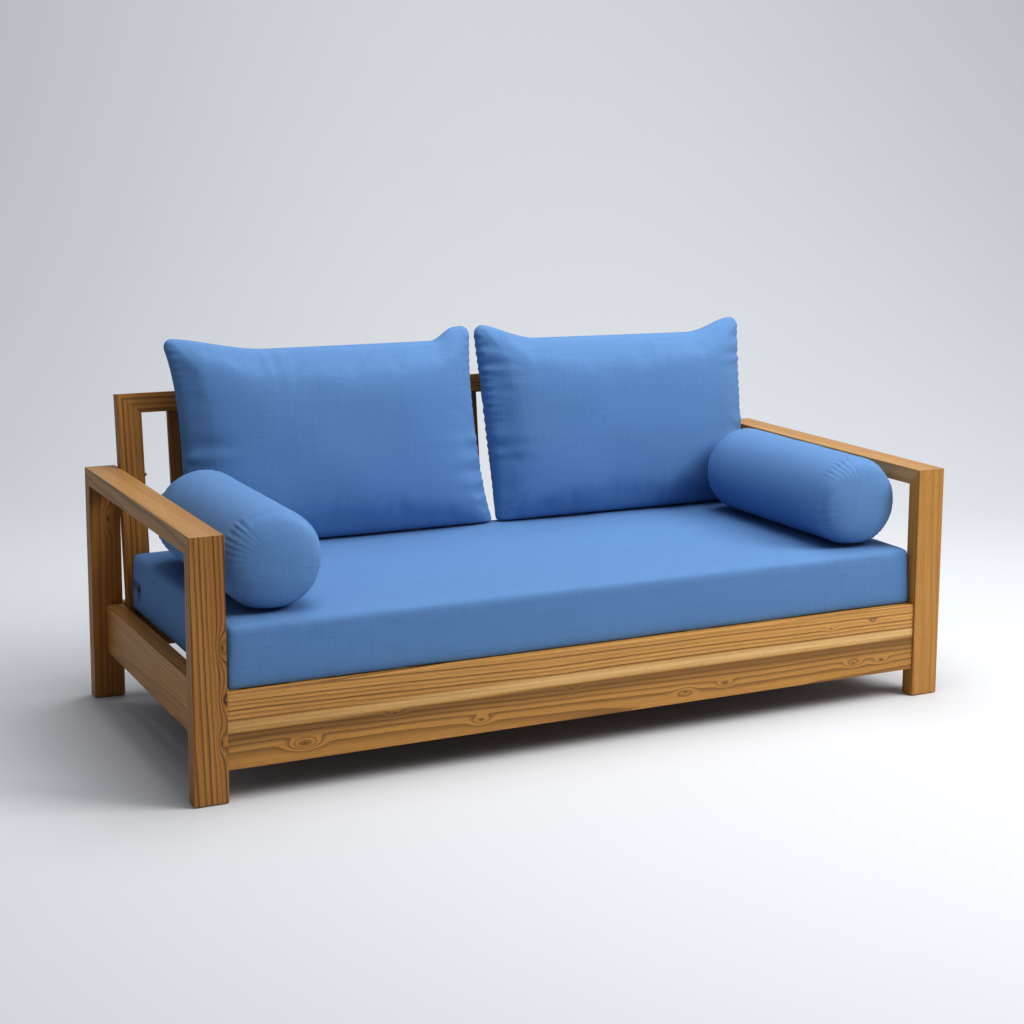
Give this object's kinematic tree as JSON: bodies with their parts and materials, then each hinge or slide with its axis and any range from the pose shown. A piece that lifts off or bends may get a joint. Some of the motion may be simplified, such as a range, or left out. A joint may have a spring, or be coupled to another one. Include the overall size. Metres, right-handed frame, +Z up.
{
  "type": "daybed",
  "caption": "Low hardwood daybed with mitred arm frames, a leaning slatted back, a slatted deck, a loose boxed mattress, loose back cushions and bolsters.",
  "frame": {"origin": "on the floor, under the middle of the frame's footprint", "axes": "+X along the length, to the right seen from the front; -Y is the front; +Z up"},
  "size_m": [2, 0.935, 0.922],
  "materials": {
    "teak": "oiled, satin",
    "dowel_wood": "bare",
    "zinc_steel": "zinc plated",
    "glide_plastic": "matte",
    "blue_fabric": "plain weave",
    "foam": "open cell",
    "fibre_filling": "soft",
    "zip_tape": "woven tape",
    "zip_metal": "satin paint"
  },
  "bodies": {
    "frame": {"arm_rail_left": "teak", "arm_rail_right": "teak", "back_bottom_rail": "teak", "back_post_left": "teak", "back_post_right": "teak", "back_slat_01": "teak", "back_slat_02": "teak", "back_slat_03": "teak", "back_slat_04": "teak", "back_slat_05": "teak", "back_slat_06": "teak", "back_slat_07": "teak", "back_slat_08": "teak", "back_slat_09": "teak", "back_slat_10": "teak", "back_slat_11": "teak", "back_slat_12": "teak", "back_slat_13": "teak", "back_slat_14": "teak", "back_top_rail": "teak", "bracket_screws": "zinc_steel", "coach_screws": "zinc_steel", "corner_brackets": "zinc_steel", "cross_beam": "teak", "deck_screws": "zinc_steel", "deck_slat_1": "teak", "deck_slat_2": "teak", "deck_slat_3": "teak", "deck_slat_4": "teak", "deck_slat_5": "teak", "deck_slat_6": "teak", "deck_slat_7": "teak", "deck_slat_8": "teak", "deck_slat_9": "teak", "foot_glides": "glide_plastic", "front_cleat": "teak", "front_leg_left": "teak", "front_leg_right": "teak", "front_rail": "teak", "mitre_dowels": "dowel_wood", "rail_dowels": "dowel_wood", "rear_bearer": "teak", "rear_leg_left": "teak", "rear_leg_right": "teak", "rear_rail": "teak", "side_rail_left": "teak", "side_rail_right": "teak"},
    "mattress": {"mattress_cover": "blue_fabric", "mattress_foam": "foam", "mattress_zip_tape": "zip_tape"},
    "back_cushion_left": {"back_cushion_left_cover": "blue_fabric", "back_cushion_left_filling": "fibre_filling"},
    "back_cushion_right": {"back_cushion_right_cover": "blue_fabric", "back_cushion_right_filling": "fibre_filling"},
    "bolster_left": {"bolster_left_cover": "blue_fabric", "bolster_left_filling": "fibre_filling"},
    "bolster_right": {"bolster_right_cover": "blue_fabric", "bolster_right_filling": "fibre_filling"},
    "zip_slider": {"zip_slider": "zip_metal"},
    "zip_pull": {"zip_pull": "zip_metal"}
  },
  "joints": [
    {"name": "mattress_lift", "type": "slide", "parent": "frame", "child": "mattress", "axis": [0, 0, 1], "range_m": [0, 0.4]},
    {"name": "back_cushion_left_lift", "type": "slide", "parent": "mattress", "child": "back_cushion_left", "axis": [0, 0, 1], "range_m": [0, 0.55]},
    {"name": "back_cushion_right_lift", "type": "slide", "parent": "mattress", "child": "back_cushion_right", "axis": [0, 0, 1], "range_m": [0, 0.55]},
    {"name": "bolster_left_lift", "type": "slide", "parent": "mattress", "child": "bolster_left", "axis": [0, 0, 1], "range_m": [0, 0.35]},
    {"name": "bolster_right_lift", "type": "slide", "parent": "mattress", "child": "bolster_right", "axis": [0, 0, 1], "range_m": [0, 0.35]},
    {"name": "zip_slide", "type": "slide", "parent": "mattress", "child": "zip_slider", "axis": [0, 1, 0], "range_m": [0, 0.06]},
    {"name": "zip_pull_swing", "type": "hinge", "parent": "zip_slider", "child": "zip_pull", "pos_m": [-0.91875, 0.2822, 0.313], "axis": [1, 0, 0], "range_deg": [-80, 80]}
  ]
}
